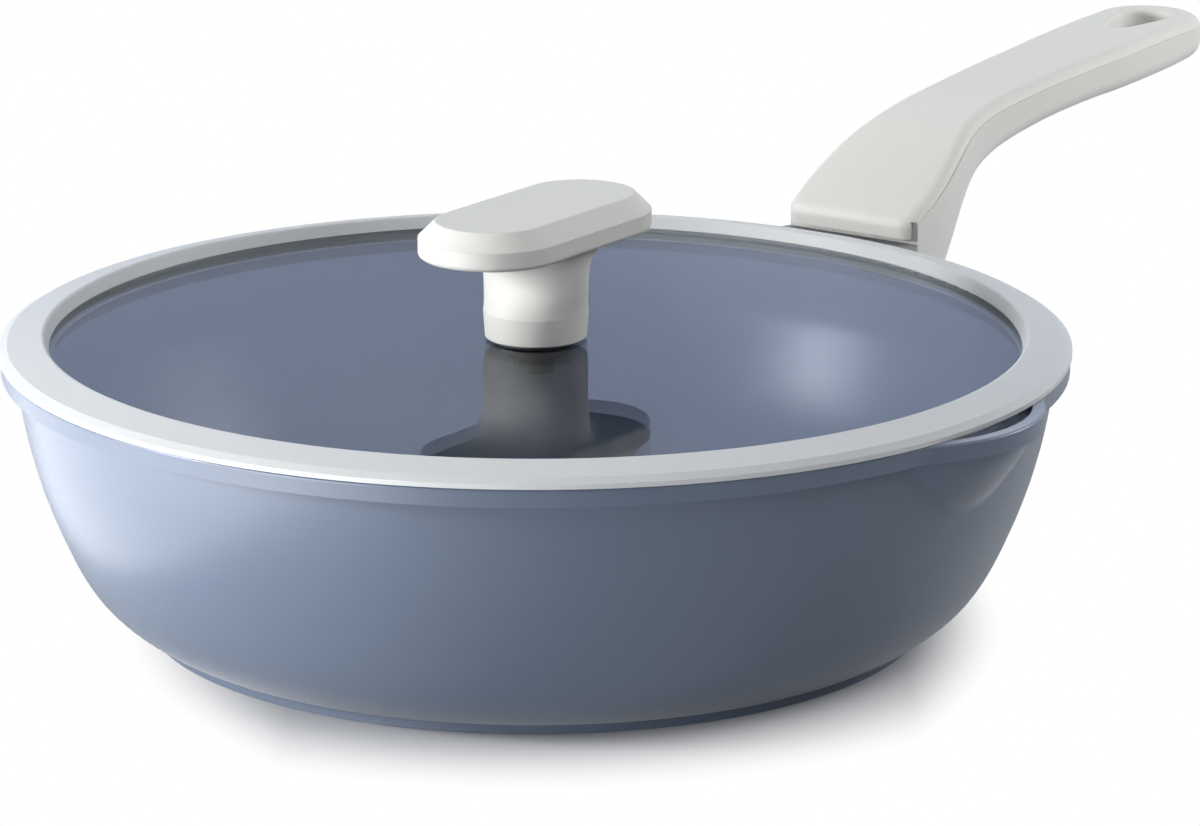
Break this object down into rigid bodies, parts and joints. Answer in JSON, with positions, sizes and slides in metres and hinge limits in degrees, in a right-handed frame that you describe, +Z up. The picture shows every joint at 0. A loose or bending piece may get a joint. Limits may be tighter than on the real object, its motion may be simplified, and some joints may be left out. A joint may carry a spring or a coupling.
{
  "type": "saute pan with lid",
  "caption": "Deep round saute pan with a side pouring spout, a rising stick handle and a flat silicone-edged glass lid with an oblong knob.",
  "frame": {"origin": "centre of the base, on the surface the pan stands on", "axes": "+X out along the handle, +Z up, the pouring spout faces -Y"},
  "size_m": [0.493, 0.2948, 0.1128],
  "materials": {
    "ceramic_coating": "matt slate-blue ceramic coating on cast aluminium",
    "base_steel": "satin stainless steel",
    "bracket_alloy": "grey painted cast alloy",
    "fixing_steel": "bright stainless steel",
    "tang_steel": "pressed steel strip",
    "handle_soft_touch": "warm light grey soft-touch plastic",
    "knob_soft_touch": "warm light grey soft-touch plastic",
    "lid_glass": "clear tempered glass",
    "ring_silicone": "light grey silicone",
    "insert_brass": "machined brass",
    "dark_seal": "dark silicone",
    "bush_nylon": "moulded nylon"
  },
  "bodies": {
    "pan": {"pan_body": "ceramic_coating", "base_plate": "base_steel", "handle_bracket": "bracket_alloy", "bracket_screws": "fixing_steel", "bracket_washers": "fixing_steel", "handle_upper_shell": "handle_soft_touch", "handle_lower_shell": "handle_soft_touch", "handle_tang": "tang_steel", "tang_screw": "fixing_steel", "handle_screw": "fixing_steel", "handle_washer": "fixing_steel", "shell_screws": "fixing_steel"},
    "lid": {"lid_glass": "lid_glass", "lid_ring": "ring_silicone", "knob_body": "knob_soft_touch", "knob_cap": "knob_soft_touch", "knob_insert": "insert_brass", "knob_seal": "dark_seal", "glass_bush": "bush_nylon", "under_gasket": "dark_seal", "lid_washer": "fixing_steel", "lid_lock_washer": "fixing_steel", "lid_screw": "fixing_steel"}
  },
  "joints": [
    {"name": "lid_lift", "type": "slide", "parent": "pan", "child": "lid", "axis": [0, 0, 1], "range_m": [0, 0.15]}
  ]
}
